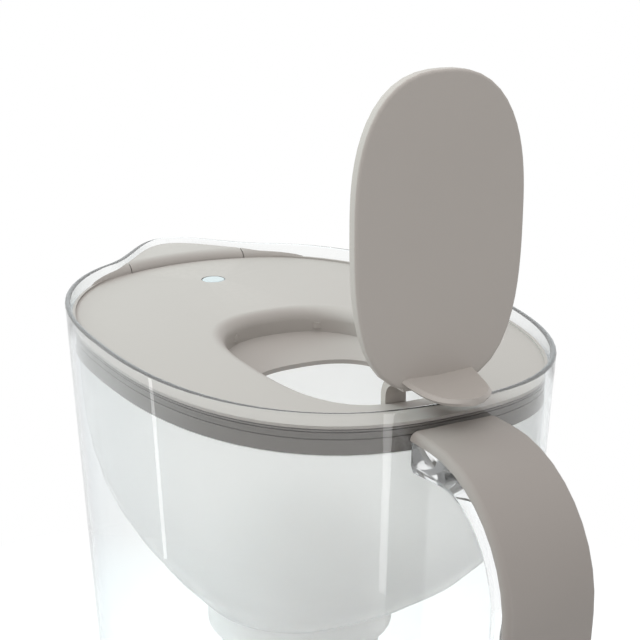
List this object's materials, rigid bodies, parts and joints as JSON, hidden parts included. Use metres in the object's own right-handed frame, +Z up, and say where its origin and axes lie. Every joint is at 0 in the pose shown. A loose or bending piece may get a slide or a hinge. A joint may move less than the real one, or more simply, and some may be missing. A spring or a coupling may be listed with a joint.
{
  "type": "water filter pitcher",
  "caption": "Clear oval water filter pitcher with a capped handle, a lift-out funnel and cartridge, and a lid with a hinged fill flap.",
  "frame": {"origin": "middle of the foot pad's underside, on the surface the pitcher stands on, half way along the jug without its spout", "axes": "+Z up, +X toward the handle, the pouring spout at -X; the pitcher is the same on both sides of Y = 0"},
  "size_m": [0.2765, 0.1488, 0.3687],
  "materials": {
    "jug_clear": "clear glossy moulded plastic",
    "cover_taupe": "fine satin soft-touch plastic",
    "soft_foot": "matt soft elastomer",
    "funnel_frost": "translucent frosted plastic",
    "cartridge_white": "satin moulded plastic",
    "seal_rubber": "matt rubber",
    "mesh_white": "fine woven mesh",
    "media_grain": "loose dark carbon and light resin grains",
    "lid_greige": "fine satin moulded plastic",
    "flap_taupe": "fine satin moulded plastic",
    "pin_steel": "drawn stainless steel",
    "lens_clear": "clear diffusing lens",
    "housing_grey": "satin moulded plastic",
    "board_green": "solder mask",
    "led_white": "clear epoxy with phosphor",
    "contact_brass": "bright sprung sheet"
  },
  "bodies": {
    "jug": {"jug_body": "jug_clear", "handle_cover": "cover_taupe", "foot_pad": "soft_foot"},
    "funnel": {"funnel": "funnel_frost"},
    "cartridge": {"cartridge_housing": "cartridge_white", "cartridge_cap": "cartridge_white", "cartridge_seal": "seal_rubber", "inlet_mesh": "mesh_white", "outlet_mesh": "mesh_white", "filter_media": "media_grain"},
    "lid": {"lid_shell": "lid_greige", "fill_flap_pin": "pin_steel", "pour_flap_pin": "pin_steel", "indicator_housing": "housing_grey", "indicator_cover": "housing_grey", "indicator_seal": "seal_rubber", "circuit_board": "board_green", "status_led": "led_white", "button_dome": "pin_steel", "coin_cell": "pin_steel", "cell_contact": "contact_brass", "electrode_left": "pin_steel", "electrode_right": "pin_steel"},
    "fill_flap": {"fill_flap": "flap_taupe"},
    "pour_flap": {"pour_flap": "lid_greige"},
    "indicator_button": {"indicator_button": "lens_clear"}
  },
  "joints": [
    {"name": "funnel_lift", "type": "slide", "parent": "jug", "child": "funnel", "axis": [0, 0, 1], "range_m": [0, 0.19]},
    {"name": "cartridge_lift", "type": "slide", "parent": "funnel", "child": "cartridge", "axis": [0, 0, 1], "range_m": [0, 0.04]},
    {"name": "lid_lift", "type": "slide", "parent": "funnel", "child": "lid", "axis": [0, 0, 1], "range_m": [0, 0.06]},
    {"name": "fill_flap_hinge", "type": "hinge", "parent": "lid", "child": "fill_flap", "pos_m": [0.0881, 0, 0.2619], "axis": [0, -1, 0], "range_deg": [0, 90]},
    {"name": "pour_flap_hinge", "type": "hinge", "parent": "lid", "child": "pour_flap", "pos_m": [-0.1003, 0, 0.2664], "axis": [0, 1, 0], "range_deg": [0, 28]},
    {"name": "indicator_press", "type": "slide", "parent": "lid", "child": "indicator_button", "axis": [0, 0, -1], "range_m": [0, 0.0006], "stiffness_N_per_m": 2500}
  ]
}
